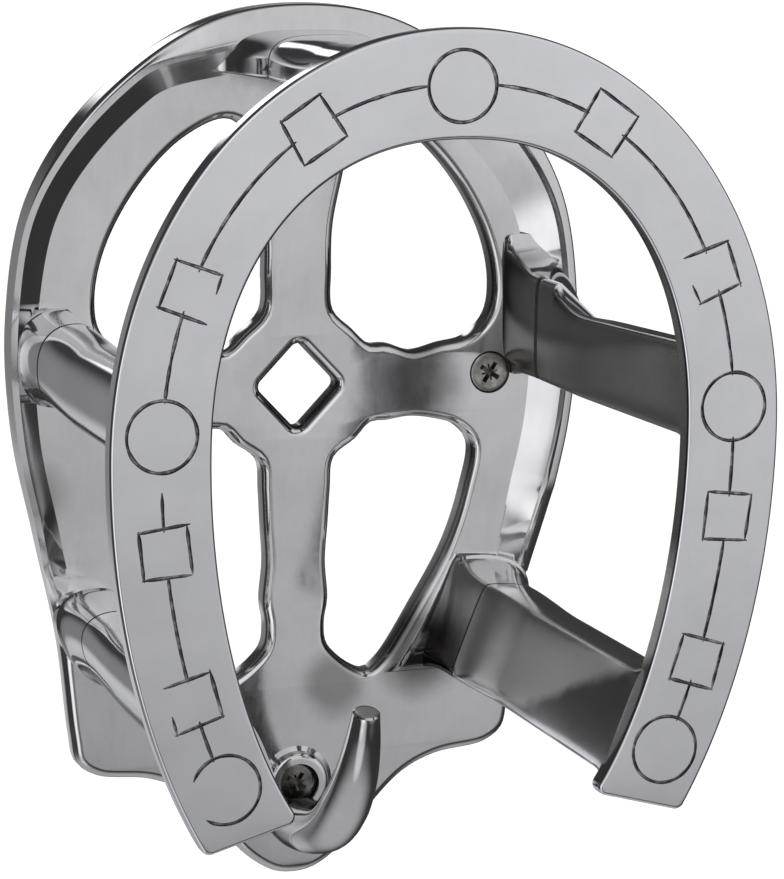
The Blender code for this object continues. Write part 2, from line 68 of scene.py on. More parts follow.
MARK_CIRCLE_RADIUS = 6.3 * MM
MARK_SQUARE_SIDE = 8.7 * MM
MARK_HEIGHTS = (47.0 * MM, 40.0 * MM, 12.9 * MM, -12.0 * MM, -32.4 * MM, -59.4 * MM, -75.7 * MM)
MARK_SHAPES = ("circle", "square", "square", "circle", "square", "square", "circle")
GROOVE_WIDTH = 0.66 * MM
GROOVE_DEPTH = 0.38 * MM

# Each arm at its seam, at its waist and at the horseshoe: the section's centre, width and thickness.
# The left arms mirror the right ones, but the upper left one has its own shape.
ARMS = {
    "top": (((0.0, 46.4), 24.0, 9.2), ((0.0, 46.4), 21.0, 9.2), ((0.0, 46.8), 22.0, 9.6)),
    "upper_right": (((51.4, -8.3), 20.8, 12.8), ((51.4, -10.7), 16.0, 12.8), ((51.4, -8.9), 17.4, 12.8)),
    "upper_left": (((51.4, -12.0), 17.2, 12.8), ((51.4, -12.8), 17.0, 12.8), ((51.4, -12.2), 17.6, 12.8)),
    "lower_right": (((39.8, -69.9), 20.4, 17.2), ((40.8, -70.8), 19.6, 15.0), ((41.2, -70.8), 19.8, 14.4)),
}
WAIST_DEPTHS = {"top": 42.0 * MM, "upper_right": 43.0 * MM, "lower_right": 42.0 * MM}
SHOULDER_DEPTH = 29.5 * MM  # the upper right arm keeps its full width from the seam up to here
ARM_LEANS = {"top": 90.0, "upper_right": 0.0, "lower_right": 21.0}  # degrees
ARM_LIP = 0.12 * MM
ARM_FLARE_START = 3.5 * MM
ARM_FLARE_RISE = 4.5 * MM
ARM_FLARE = 1.6 * MM
# An arm's section has a flat inner part and a round back, each half a superellipse. A left arm's is rounder.
ARM_FLAT_DEPTH = 1.8 * MM
LEFT_FLAT_SHARE = 0.4
FLAT_POWER = 4.5
LEFT_FLAT_POWER = 2.5
BACK_POWER = 2.3
TOP_BACK_POWER = 3.4
# The hand-ground upper edge of the upper right arm has its own powers at its foot, seam and front.
UPPER_EDGE_POWERS = (2.6, 1.0, 2.1)
# How far each stub's foot sweeps out along the rim, downwards or left and then upwards or right, and how high
STUB_SWEEPS = {
    "top": (7.0 * MM, 7.0 * MM, 14.0 * MM),
    "upper_right": (1.2 * MM, 7.0 * MM, 13.0 * MM),
    "upper_left": (1.5 * MM, 1.0 * MM, 14.0 * MM),
    "lower_right": (1.6 * MM, 3.0 * MM, 12.0 * MM),
    "lower_left": (1.5 * MM, 1.5 * MM, 14.0 * MM),
}
# Half the width of the dark joint line between a stub and its arm, where it isn't SEAM_HALF_GAP
SEAM_HALF_GAPS = {"upper_right": 0.8 * MM, "upper_left": 0.45 * MM}
SEAM_HALF_GAP = 0.3 * MM
SEAM_SHYNESS = 0.03 * MM
STUB_FILLET_RISE = 13.0 * MM
STUB_FILLET_REACH = 2.4 * MM
ARM_NAMES = ("top", "upper_left", "upper_right", "lower_left", "lower_right")

WALL_SCREW_XZ = {
    "wall_screw_left": (-41.3 * MM, -19.4 * MM),
    "wall_screw_right": (41.3 * MM, -19.4 * MM),
    "wall_screw_bottom": (0.0, -103.2 * MM),
}
SCREW_HEAD_RADIUS = 4.1 * MM
SCREW_SHANK_RADIUS = 2.0 * MM
WALL_SCREW_LENGTH = 29.9 * MM
ARM_SCREW_LENGTH = 35.9 * MM
# A screw's head down to its shank: radius and distance from its top
SCREW_HEAD_PROFILE = (
    (0.9, 0.0), (3.2, 0.0), (3.75, 0.04), (4.0, 0.16), (4.1, 0.34), (4.08, 0.46), (3.4, 1.1), (2.6, 1.9),
    (2.05, 2.5), (1.75, 3.2),
)
THREAD_START = 3.6 * MM
THREAD_STEP = 0.2 * MM
THREAD_SHARPNESS = 3.2
WOOD_PITCH = 1.6 * MM
WOOD_THREAD_DEPTH = 0.45 * MM
WOOD_POINT_LENGTH = 7.0 * MM
MACHINE_PITCH = 0.8 * MM
MACHINE_THREAD_DEPTH = 0.28 * MM
# The blades that cut a cross recess: turn in degrees, width, reach and depth
RECESS_TURN = 57.0
RECESS_BLADES = (
    (0.0, 0.95, 2.35, 1.5), (90.0, 0.95, 2.35, 1.5), (45.0, 0.42, 1.75, 0.7), (135.0, 0.42, 1.75, 0.7),
)
BOSS_RADIUS = 6.0 * MM
BOSS_HEIGHT = 2.0 * MM
BOSS_EDGE_RADIUS = 1.4 * MM

# The hook's centre line, as distance from the wall, height and radius
HOOK_LINE = (
    (2.5, -111.0, 5.6), (9.0, -111.0, 5.6), (19.0, -109.0, 5.4), (29.0, -105.0, 5.2),
    (37.0, -98.4, 5.0), (43.0, -90.6, 4.3), (46.3, -83.3, 3.5), (48.0, -77.6, 2.8),
)
# How the tip rounds off: step past the line's end and share of the end's radius
HOOK_TIP = ((0.0, 1.0), (0.35, 0.97), (0.65, 0.84), (0.8, 0.62))
# The right half of the plate's outline from the crown down, and the windows right of its centre line
PLATE_HALF = (
    (0.0, 56.2), (20.6, 52.6), (42.0, 38.0), (55.0, 19.0), (59.4, -5.0), (58.4, -28.0), (54.3, -48.0),
    (49.6, -70.0), (47.2, -90.0), (46.0, -95.5), (42.0, -98.4), (31.0, -100.1), (24.0, -103.2),
    (17.0, -109.8), (11.3, -117.3), (4.6, -122.1),
)
PLATE_FOOT = (0.0, -122.9)
PLATE_SPACING = 1.6 * MM
WINDOW_SPACING = 1.3 * MM
UPPER_WINDOW = (
    (7.3, 12.0), (7.1, 3.0), (7.5, -5.2), (11.6, -9.3), (15.4, -12.6), (19.4, -12.8), (24.8, -14.5),
    (31.0, -13.2), (36.6, -12.0), (41.0, -7.6), (42.0, -1.0), (39.8, 9.0), (33.0, 21.0), (24.0, 30.0),
    (15.5, 33.6), (11.4, 31.6), (9.3, 22.0),
)
LOWER_WINDOW = (
    (7.3, -42.0), (8.0, -35.6), (12.6, -32.0), (15.8, -28.8), (19.0, -28.6), (24.2, -28.0), (30.0, -28.8),
    (34.2, -30.2), (37.8, -34.2), (36.4, -44.0), (32.8, -55.0), (26.0, -67.2), (18.2, -79.0), (15.2, -80.8),
    (7.1, -74.8), (6.3, -70.0), (7.0, -65.0), (6.4, -57.0), (6.9, -49.0),
)
DIAMOND_CENTRE_Z = -20.4 * MM
DIAMOND_HALF = (8.8 * MM, 9.2 * MM)
DIAMOND_RADIUS = 1.6 * MM
RIDGE_END_Z = -62.0 * MM

# Parts of the engraving that have worn away, by limb (1 right, -1 left) and mark number down from the crown:
# sides of a square (0 top, 1 left, 2 bottom, 3 right), or the degrees between which a circle is left.
WORN_SIDES = {
    (1, 2): (1,),
    (-1, 2): (3,),
    (-1, 5): (1,),
    (-1, 6): (-125.0, 162.0),
}
# The heights between which the engraved line on the left limb has worn away
WORN_LINK = (-21.6 * MM, -18.0 * MM)

# ---------------------------------------------------------------- looks

# Painted shade and dark reflections, in patches on the front of the back casting: X, Z, radius and strength
PAINTED_SHADE_PATCHES = (
    (26.0, -76.0, 13.0, 0.85), (26.0, -21.0, 11.0, 0.65), (8.0, -83.0, 9.0, 0.55), (-54.0, -40.0, 10.0, 0.4),
)
PAINTED_SHADE_TONE = (0.10, 0.095, 0.088, 1.0)
# Each casting: roughness of its satin faces between two limits, then its bright and its dull tone
BACK_FINISH = (0.09, 0.15, (0.74, 0.735, 0.745, 1.0), (0.62, 0.61, 0.61, 1.0))
FRONT_FINISH = (0.18, 0.26, (0.82, 0.82, 0.85, 1.0), (0.74, 0.74, 0.76, 1.0))
BRUSHED_TONE = (0.88, 0.88, 0.89, 1.0)
# Painted light and shade on the sides that look in at the middle: dark, but bright low down, short of a
# slanting line on the lower arms.
INNER_SIDE_PAINTED_LIGHT_AND_SHADE = ((0.80, 0.79, 0.77, 1.0), (0.13, 0.127, 0.123, 1.0))
INNER_SIDE_SHADE_FADE = (-46 * MM, -36 * MM)
SLANT_PER_HEIGHT = -2.1
SLANT_FADE = (0.222, 0.230)
# The back face on the wall side is as cast: less metallic and rougher than the polished rest.
AS_CAST_METALLIC = 0.45
AS_CAST_ROUGHER = 0.35

# The room that polished metal mirrors: each soft light's direction, the degrees between which it fades, and
# its strength
ROOM_LIGHTS = (
    ((0.45, -0.80, 0.40), 20.0, 60.0, 0.72),
    ((-0.62, -0.76, -0.18), 8.0, 25.0, 0.78),
    ((-0.45, -0.68, -0.57), 8.0, 26.0, 0.55),
    ((0.00, 0.95, 0.33), 2.0, 9.0, 2.0),
    ((-0.34, 0.92, -0.19), 8.0, 26.0, 0.20),
    ((-0.34, -0.92, 0.19), 10.0, 36.0, 0.46),
    ((0.18, 0.97, -0.02), 4.0, 15.0, 0.60),
    ((-0.06, 0.90, -0.46), 6.0, 18.0, 0.40),
    ((0.10, -0.20, 1.00), 8.0, 30.0, 0.22),
    ((-0.15, 0.05, -0.98), 22.0, 60.0, 0.45),
)
ROOM_STRENGTH = 0.045
ROOM_TONE = (0.97, 0.975, 1.0, 1.0)
WHITE_STRENGTH = 1.2
FLOOR_Z = -0.45
FLOOR_RADIUS = 4.0
SOFTBOX_SPOT = (-0.3, -0.5, 1.3)
SOFTBOX_SIZE = 0.9
SOFTBOX_POWER = 1.5
CAMERA_SPOT = (-0.2076, -0.6199, 0.09315)
CAMERA_FORWARD = (0.3415, 0.9208, -0.1883)
CAMERA_ROLL = 0.809
CAMERA_LENS = 133.77
SENSOR_WIDTH = 36.0

# ---------------------------------------------------------------- node helpers


class Nodes:
    """A material's or world's node tree, with one call per node."""

    def __init__(self, tree):
        self.tree = tree
        tree.nodes.clear()

    def add(self, kind, inputs=None, **settings):
        node = self.tree.nodes.new("ShaderNode" + kind)
        for name, value in settings.items():
            setattr(node, name, value)
        for name, value in (inputs or {}).items():
            socket = node.inputs[name]
            if isinstance(value, bpy.types.NodeSocket):
                self.tree.links.new(value, socket)
            else:
                socket.default_value = value
        return node

    def math(self, operation, a, b=0.0):
        return self.add("Math", {0: a, 1: b}, operation=operation).outputs[0]

    def remap(self, value, low, high, to_low=0.0, to_high=1.0, smooth=False):
        kind = "SMOOTHSTEP" if smooth else "LINEAR"
        settings = {"Value": value, "From Min": low, "From Max": high, "To Min": to_low, "To Max": to_high}
        return self.add("MapRange", settings, interpolation_type=kind).outputs["Result"]

    def vector(self, operation, a, b=(0.0, 0.0, 0.0), output="Vector"):
        return self.add("VectorMath", {0: a, 1: b}, operation=operation).outputs[output]

    def blend(self, factor, a, b):
        return self.add("Mix", {0: factor, 6: a, 7: b}, data_type="RGBA").outputs[2]

    def noise(self, vector, scale, detail=3.0, roughness=0.5, stretch=(1.0, 1.0, 1.0)):
        mapped = self.add("Mapping", {"Vector": vector, "Scale": stretch}).outputs[0]
        values = {"Vector": mapped, "Scale": scale, "Detail": detail, "Roughness": roughness}
        return self.add("TexNoise", values).outputs["Fac"]


def new_material(name):
    material = bpy.data.materials.new(name)
    material.use_nodes = True
    return material, Nodes(material.node_tree)


def finish_material(material, n, values):
    shader = n.add("BsdfPrincipled", values)
    n.add("OutputMaterial", {"Surface": shader.outputs[0]})
    return material


def cast_metal(name, finish, shade_patches=()):
    """Polished casting: satin on the faces square to the front, mirror bright round the edges.

    The sides that look in towards the middle get painted shade and a rougher polish, but keep a bright tone
    low down, short of a slanting line on the lower arms.
    Only the back casting has painted patches of shade and dark reflection on its front, and an as-cast face
    towards the wall.
    """
    satin_low, satin_high, bright_tone, dull_tone = finish
    material, n = new_material(name)
    place = n.add("TexCoord").outputs["Object"]
    normal = n.add("NewGeometry").outputs["Normal"]
    facing = n.math("ABSOLUTE", n.add("SeparateXYZ", {0: normal}).outputs["Y"])
    flat = n.remap(facing, 0.93, 0.995, smooth=True)
    spread = n.vector("SUBTRACT", place, (0.0, 0.0, DIAMOND_CENTRE_Z))
    middle = n.vector("NORMALIZE", n.vector("MULTIPLY", spread, (-1.0, 0.0, -1.0)))
    towards = n.vector("DOT_PRODUCT", normal, middle, "Value")
    smudge = n.noise(place, 38.0, 4.0, 0.6)
    # Mask of the sides that look in at the middle: they get painted shade in their colour and a rougher
    # polish
    inside = n.remap(towards, 0.55, 0.85, smooth=True)
    inside = n.math("MULTIPLY", inside, n.remap(smudge, 0.25, 0.6, 0.92, 1.0))
    brushed = n.noise(place, 260.0, 2.0, 0.6, (2.0, 2.0, 0.5))
    haze = n.noise(place, 900.0, 2.0, 0.5)
    bright = n.blend(n.remap(smudge, 0.35, 0.7), bright_tone, dull_tone)
    lined = n.blend(n.remap(brushed, 0.3, 0.75, 0.0, 0.18), bright, BRUSHED_TONE)
    spot = n.add("SeparateXYZ", {0: place}).outputs
    out = n.math("MULTIPLY", spot["Y"], -1.0)
    slant = n.math("ADD", n.math("MULTIPLY", spot["Z"], SLANT_PER_HEIGHT), out)
    # Painted shade on the lower arms' fronts, past a slanting line
    painted_shade_low_front = n.remap(n.math("ADD", slant, n.math("MULTIPLY", smudge, 0.02)), *SLANT_FADE, smooth=True)
    high = n.math("MAXIMUM", n.remap(spot["Z"], *INNER_SIDE_SHADE_FADE), painted_shade_low_front)
    # Painted light and shade: the inward sides take the dark tone high up and the bright tone low down
    tone = n.blend(inside, lined, n.blend(high, *INNER_SIDE_PAINTED_LIGHT_AND_SHADE))
    on_wall = n.vector("MULTIPLY", place, (1.0, 0.0, 1.0))
    # Each patch paints shade or a dark reflection into the front's colour
    for x, z, radius, share in shade_patches:
        away = n.vector("DISTANCE", on_wall, (x * MM, 0.0, z * MM), "Value")
        away = n.math("ADD", away, n.remap(smudge, 0.3, 0.7, -2.5 * MM, 2.5 * MM))
        mask = n.remap(away, radius * 0.35 * MM, radius * MM, share, 0.0, smooth=True)
        mask = n.math("MULTIPLY", mask, n.remap(spot["Y"], -3 * MM, -2 * MM, 1.0, 0.0))
        tone = n.blend(mask, tone, PAINTED_SHADE_TONE)
    polish = n.math("ADD", n.remap(smudge, 0.3, 0.75, 0.05, 0.10), n.math("MULTIPLY", inside, 0.18))
    satin = n.remap(brushed, 0.25, 0.75, satin_low, satin_high)
    satin = n.math("ADD", satin, n.remap(haze, 0.3, 0.7, -0.015, 0.02))
    rough = n.add("Mix", {0: flat, 2: polish, 3: satin}, data_type="FLOAT").outputs[0]
    waves = n.noise(place, 55.0, 1.5, 0.4)
    lines = n.add("Bump", {"Strength": 0.05, "Distance": 0.00006, "Height": brushed}).outputs[0]
    bump = n.add("Bump", {"Strength": 0.25, "Distance": 0.0006, "Height": waves, "Normal": lines}).outputs[0]
    values = {"Base Color": tone, "Roughness": rough, "Normal": bump, "Metallic": 1.0}
    if shade_patches:
        as_cast = n.remap(n.add("SeparateXYZ", {0: normal}).outputs["Y"], 0.8, 0.95)
        as_cast = n.math("MULTIPLY", as_cast, n.remap(spot["Y"], -1 * MM, -0.5 * MM))
        values["Metallic"] = n.remap(as_cast, 0.0, 1.0, 1.0, AS_CAST_METALLIC)
        values["Roughness"] = n.math("ADD", rough, n.math("MULTIPLY", as_cast, AS_CAST_ROUGHER))
    return finish_material(material, n, values)


def groove_patina():
    """Dark oxide left in the engraved lines, worn through in places."""
    material, n = new_material("groove_patina")
    place = n.add("TexCoord").outputs["Object"]
    worn = n.remap(n.noise(place, 420.0, 3.0, 0.6), 0.45, 0.7)
    tone = n.blend(worn, (0.12, 0.12, 0.125, 1.0), (0.48, 0.48, 0.49, 1.0))
    rough = n.remap(worn, 0.0, 1.0, 0.45, 0.25)
    return finish_material(material, n, {"Base Color": tone, "Roughness": rough, "Metallic": 0.92})


def zinc_plate(name, clean_tone, stained_tone, roughness):
    """Dull, lightly stained zinc plating."""
    material, n = new_material(name)
    place = n.add("TexCoord").outputs["Object"]
    stain = n.noise(place, 420.0, 4.0, 0.65)
    tone = n.blend(n.remap(stain, 0.4, 0.7), clean_tone, stained_tone)
    rough = n.remap(stain, 0.3, 0.7, roughness, roughness + 0.18)
    grain = n.add("Bump", {"Strength": 0.2, "Distance": 0.0001, "Height": n.noise(place, 1500.0)}).outputs[0]
    values = {"Base Color": tone, "Roughness": rough, "Normal": grain, "Metallic": 1.0}
    return finish_material(material, n, values)


def dark_dirt_and_shade(name, dark_tone, light_tone, metallic):
    """Dark grime and painted shade inside the gaps round the screws, and in the joints between the stubs and
    the arms.
    """
    material, n = new_material(name)
    place = n.add("TexCoord").outputs["Object"]
    tone = n.blend(n.noise(place, 700.0), dark_tone, light_tone)
    return finish_material(material, n, {"Base Color": tone, "Roughness": 0.6, "Metallic": metallic})


# ---------------------------------------------------------------- outlines


def metres(points):
    return [(x * MM, z * MM) for x, z in points]


def eased(value, low, high):
    share = max(0.0, min(1.0, (value - low) / (high - low)))
    return share * share * (3 - 2 * share)


def catmull(a, b, c, d, t):
    """A point between b and c on the centripetal Catmull-Rom curve through four points."""
    a, b, c, d = (Vector(p) for p in (a, b, c, d))
    t0 = 0.0
    t1 = max((b - a).length, 1e-9) ** 0.5
    t2 = t1 + max((c - b).length, 1e-9) ** 0.5
    t3 = t2 + max((d - c).length, 1e-9) ** 0.5
    t = t1 + (t2 - t1) * t
    ab = a * ((t1 - t) / (t1 - t0)) + b * ((t - t0) / (t1 - t0))
    bc = b * ((t2 - t) / (t2 - t1)) + c * ((t - t1) / (t2 - t1))
    cd = c * ((t3 - t) / (t3 - t2)) + d * ((t - t2) / (t3 - t2))
    abc = ab * ((t2 - t) / (t2 - t0)) + bc * ((t - t0) / (t2 - t0))
    bcd = bc * ((t3 - t) / (t3 - t1)) + cd * ((t - t1) / (t3 - t1))
    return tuple(abc * ((t2 - t) / (t2 - t1)) + bcd * ((t - t1) / (t2 - t1)))


def smooth_loop(points, spacing):
    """A closed smooth loop through the points, with a vertex about every spacing."""
    loop = []
    count = len(points)
    for i in range(count):
        around = [points[(i + k) % count] for k in (-1, 0, 1, 2)]
        steps = max(1, round((Vector(around[2]) - Vector(around[1])).length / spacing))
        loop.extend(catmull(*around, k / steps) for k in range(steps))
    return loop


def mirrored(points):
    return [(-x, z) for x, z in reversed(points)]


def rounded_polygon(corners, radius, steps):
    """A loop with each corner rounded, as steps + 1 points a corner."""
    loop = []
    count = len(corners)
    for i in range(count):
        before, corner, after = (Vector(corners[(i + k) % count]) for k in (-1, 0, 1))
        to_before = (before - corner).normalized()
        to_after = (after - corner).normalized()
        half = to_before.angle(to_after) / 2
        middle = corner + (to_before + to_after).normalized() * (radius / math.sin(half))
        first = corner + to_before * (radius / math.tan(half)) - middle
        last = corner + to_after * (radius / math.tan(half)) - middle
        loop.extend(tuple(middle + first.slerp(last, k / steps) * radius) for k in range(steps + 1))
    return loop


def horseshoe_x(z, curve):
    """Half width of a horseshoe curve at height z: a superellipse above FRONT_MID_Z, an ellipse below."""
    half_width, top, power, fall = curve
    if z >= FRONT_MID_Z:
        share = min(1.0, (z - FRONT_MID_Z) / (top - FRONT_MID_Z))
        return half_width * (1.0 - share**power) ** (1.0 / power)
    return half_width * math.sqrt(1.0 - ((z - FRONT_MID_Z) / fall) ** 2)


def horseshoe_side(curve, end_z, count):
    """The right half of a horseshoe curve, from the crown down to end_z."""
    half_width, top, power, _ = curve
    points = []
    for k in range(count):
        angle = math.pi / 2 * (1.0 - k / count)
        x = half_width * math.cos(angle) ** (2.0 / power)
        points.append((x, FRONT_MID_Z + (top - FRONT_MID_Z) * math.sin(angle) ** (2.0 / power)))
    below = count * 2 // 3
    for k in range(below + 1):
        z = FRONT_MID_Z + (end_z - FRONT_MID_Z) * k / below
        points.append((horseshoe_x(z, curve), z))
    return points


def front_outline(count=90):
    """The horseshoe's outline; of each heel's four-sided outline only the two end corners are used."""
    outer = horseshoe_side(OUTER_CURVE, HEEL_OUTER_Z, count)
    inner = horseshoe_side(INNER_CURVE, HEEL_INNER_Z, count)
    heel = rounded_polygon([outer[-4], outer[-1], inner[-1], inner[-4]], HEEL_RADIUS, 8)[9:27]
    right = outer[:-2] + heel + inner[-4::-1]
    return right + [(-x, z) for x, z in reversed(right) if x > 1e-7]


def plate_outline():
    half = metres(PLATE_HALF)
    return smooth_loop(half + metres([PLATE_FOOT]) + mirrored(half[1:]), PLATE_SPACING)


# ---------------------------------------------------------------- solids


def link(name, mesh):
    piece = bpy.data.objects.new(name, mesh)
    bpy.context.scene.collection.objects.link(piece)
    return piece


def baked(piece):
    """The piece with its modifiers and its place applied to a new mesh."""
    bpy.context.view_layer.update()
    evaluated = piece.evaluated_get(bpy.context.evaluated_depsgraph_get())
    mesh = bpy.data.meshes.new_from_object(evaluated)
    mesh.transform(piece.matrix_world)
    name = piece.name
    bpy.data.objects.remove(piece, do_unlink=True)
    return link(name, mesh)


def cleaned(piece):
    """The piece without double points or faces of no size, and with its faces looking out."""
    bm = bmesh.new()
    bm.from_mesh(piece.data)
    bmesh.ops.remove_doubles(bm, verts=bm.verts, dist=0.000005)
    bmesh.ops.dissolve_degenerate(bm, edges=bm.edges, dist=0.000001)
    bmesh.ops.recalc_face_normals(bm, faces=bm.faces)
    bm.to_mesh(piece.data)
    bm.free()
    return piece


def flat_solid(name, loops, front, back, edge_radius):
    """A flat solid with rounded edges between two depths: the first loop is its outline, others are holes."""
    curve = bpy.data.curves.new(name, "CURVE")
    curve.dimensions = "2D"
    curve.fill_mode = "BOTH"
    curve.extrude = (front - back) / 2 - edge_radius
    curve.bevel_depth = edge_radius
    curve.bevel_resolution = 4
    curve.offset = -edge_radius
    for loop in loops:
        spline = curve.splines.new("POLY")
        spline.points.add(len(loop) - 1)
        for point, (x, z) in zip(spline.points, loop):
            point.co = (x, z, 0.0, 1.0)
        spline.use_cyclic_u = True
    piece = link(name, curve)
    piece.rotation_euler = (math.pi / 2, 0.0, 0.0)
    piece.location = (0.0, -(front + back) / 2, 0.0)
    return cleaned(baked(piece))


def loft(name, rings, closed=False):
    """A closed solid through rings of equally many points, with flat ends unless it closes on itself."""
    bm = bmesh.new()
    layers = [[bm.verts.new(point) for point in ring] for ring in rings]
    count = len(layers[0])
    pairs = list(zip(layers, layers[1:])) + ([(layers[-1], layers[0])] if closed else [])
    for lower, upper in pairs:
        for k in range(count):
            bm.faces.new((lower[k], lower[(k + 1) % count], upper[(k + 1) % count], upper[k]))
    if not closed:
        bm.faces.new(reversed(layers[0]))
        bm.faces.new(layers[-1])
    bmesh.ops.recalc_face_normals(bm, faces=bm.faces)
    mesh = bpy.data.meshes.new(name)
    bm.to_mesh(mesh)
    bm.free()
    return link(name, mesh)


def turned(name, profile, centre, count=48):
    """A solid turned about a line along Y through centre; profile is (radius, distance from the wall)."""
    rings = []
    for radius, out in profile:
        rings.append([
            (centre[0] + radius * math.cos(math.tau * k / count), -out,
             centre[1] + radius * math.sin(math.tau * k / count)) for k in range(count)
        ])
    return loft(name, rings)


def joined(name, pieces):
    """One object out of several, each keeping its own closed surface."""
    bm = bmesh.new()
    for piece in pieces:
        bm.from_mesh(piece.data)
    mesh = bpy.data.meshes.new(name)
    bm.to_mesh(mesh)
    bm.free()
    for material in pieces[0].data.materials:
        mesh.materials.append(material)
    for piece in pieces:
        bpy.data.objects.remove(piece, do_unlink=True)
    return link(name, mesh)


def combined(piece, other, operation="DIFFERENCE", use_self=False):
    modifier = piece.modifiers.new("cut", "BOOLEAN")
    modifier.operation = operation
    modifier.solver = "EXACT"
    modifier.use_self = use_self
    modifier.material_mode = "TRANSFER"
    modifier.object = other
    result = baked(piece)
    bpy.data.objects.remove(other, do_unlink=True)
    return result


def shade(piece, degrees=35.0):
    """Smooth shading with crisp creases, weighted so that flats stay flat."""
    piece.data.shade_smooth()
    piece.data.set_sharp_from_angle(angle=math.radians(degrees))
    bm = bmesh.new()
    bm.from_mesh(piece.data)
    for edge in bm.edges:
        if len({face.material_index for face in edge.link_faces}) > 1:
            edge.smooth = False
    bm.to_mesh(piece.data)
    bm.free()
    weighted = piece.modifiers.new("weighted", "WEIGHTED_NORMAL")
    weighted.keep_sharp = True
    weighted.weight = 80
    return baked(piece)


# ---------------------------------------------------------------- arms and stubs


def right_twin(name):
    return name.replace("left", "right")


def seam_half_gap(name):
    return SEAM_HALF_GAPS.get(name, SEAM_HALF_GAP)


def arm_section(name, out):
    """Centre, width and thickness of an arm's section at a distance from the wall."""
    seam, waist, front = ARMS.get(name) or ARMS[right_twin(name)]
    waist_depth = WAIST_DEPTHS[right_twin(name)]
    if out < waist_depth:
        share = eased(out, SEAM_DEPTH, waist_depth)
        if name == "upper_right":
            share = 1.0 - fillet(out - SHOULDER_DEPTH, waist_depth - SHOULDER_DEPTH, 1.0)
        first, last = seam, waist
    else:
        first, last, share = waist, front, (out - waist_depth) / (DEPTH - waist_depth)
    centre = Vector(first[0]).lerp(Vector(last[0]), share) * MM
    width = (first[1] + (last[1] - first[1]) * share) * MM
    thickness = (first[2] + (last[2] - first[2]) * share) * MM
    if name.endswith("left"):
        centre.x = -centre.x
    return centre, width, thickness


def arm_ring(name, out, ends=(0.0, 0.0), inner=0.0, outer=0.0, count=96):
    """One section of an arm: flat towards the middle of the bracket, round on the outside.

    It grows by ends at its two ends (downwards or left, upwards or right), by inner on its flat side and by
    outer on its back. On the side arms, inner fades out towards the lower end.
    """
    centre, width, thickness = arm_section(name, out)
    left = name.endswith("left")
    hand = -1.0 if left else 1.0
    lean = math.radians(ARM_LEANS[right_twin(name)]) * hand
    along = Vector((math.sin(lean), math.cos(lean)))
    away = Vector((0.0, 1.0)) if name == "top" else Vector((hand, 0.0))
    flat_depth = thickness * LEFT_FLAT_SHARE if left else ARM_FLAT_DEPTH
    flat = flat_depth - thickness / 2
    inner_power = LEFT_FLAT_POWER if left else FLAT_POWER
    back_power = TOP_BACK_POWER if name == "top" else BACK_POWER
    upper_power = back_power
    if name == "upper_right":
        foot, seam, front = UPPER_EDGE_POWERS
        upper_power = foot + (seam - foot) * eased(out, SEAM_DEPTH - 11 * MM, SEAM_DEPTH + 2 * MM)
        upper_power += (front - seam) * eased(out, SHOULDER_DEPTH + 5 * MM, SHOULDER_DEPTH + 20 * MM)
    ring = []
    for k in range(count):
        angle = math.tau * (k + 0.5) / count
        cosine, sine = math.cos(angle), math.sin(angle)
        if sine > 0:
            span, power = thickness - flat_depth + outer, upper_power if cosine > 0 else back_power
        else:
            weight = 1.0 if name == "top" else 0.5 + 0.5 * cosine
            span, power = flat_depth + inner * weight, inner_power
        reach = width / 2 + (ends[1] if cosine > 0 else ends[0])
        u = reach * math.copysign(abs(cosine) ** (2 / power), cosine)
        v = flat + span * math.copysign(abs(sine) ** (2 / power), sine)
        point = centre + along * u + away * v
        ring.append((point.x, -out, point.y))
    return ring


def eased_lip(distance, reach):
    """How far a rounded end draws in, at a distance from the end."""
    share = max(0.0, 1.0 - distance / reach)
    return -reach * (1.0 - math.sqrt(max(0.0, 1.0 - share * share)))


def arm_solid(name):
    """One arm, with a small rounded lip at the seam and a fillet where it meets the horseshoe."""
    start = SEAM_DEPTH + seam_half_gap(name)
    root = DEPTH - FRONT_THICKNESS
    bend = SHOULDER_DEPTH + 12 * MM
    straight_end = root - 4 * MM
    outs = [start + ARM_LIP * k / 3 for k in range(4)]
    outs += [start + ARM_LIP + (SHOULDER_DEPTH - start - ARM_LIP) * k / 6 for k in range(1, 7)]
    outs += [SHOULDER_DEPTH + (bend - SHOULDER_DEPTH) * (k / 20) ** 1.6 for k in range(1, 21)]
    outs += [bend + (straight_end - bend) * k / 14 for k in range(1, 15)]
    outs += [straight_end + 5.5 * MM * k / 12 for k in range(1, 13)]
    rings = []
    for out in outs:
        inset = eased_lip(out - start, ARM_LIP)
        flare = ARM_FLARE * max(0.0, (out - root + ARM_FLARE_START) / ARM_FLARE_RISE) ** 2.2
        end = inset + flare * 0.6
        rings.append(arm_ring(name, out, (end, end), inset, inset + flare * 0.7))
    return loft("arm_" + name, rings)


def seam_solid(name):
    """The dark packing of polish and oxide in the joint between a stub and its arm, coloured near black as
    painted shade of the gap too.
    """
    half = seam_half_gap(name) - 0.01 * MM
    ends = (-SEAM_SHYNESS, -SEAM_SHYNESS)
    outs = (SEAM_DEPTH - half, SEAM_DEPTH + half)
    return loft("seam_" + name, [arm_ring(name, out, ends, -SEAM_SHYNESS, -SEAM_SHYNESS) for out in outs])


def fillet(height, rise, reach):
    """How far a concave fillet stands out, at a height above the surface that it starts from."""
    share = max(0.0, min(1.0, 1.0 - height / rise))
    return reach * (1.0 - math.sqrt(1.0 - share * share))


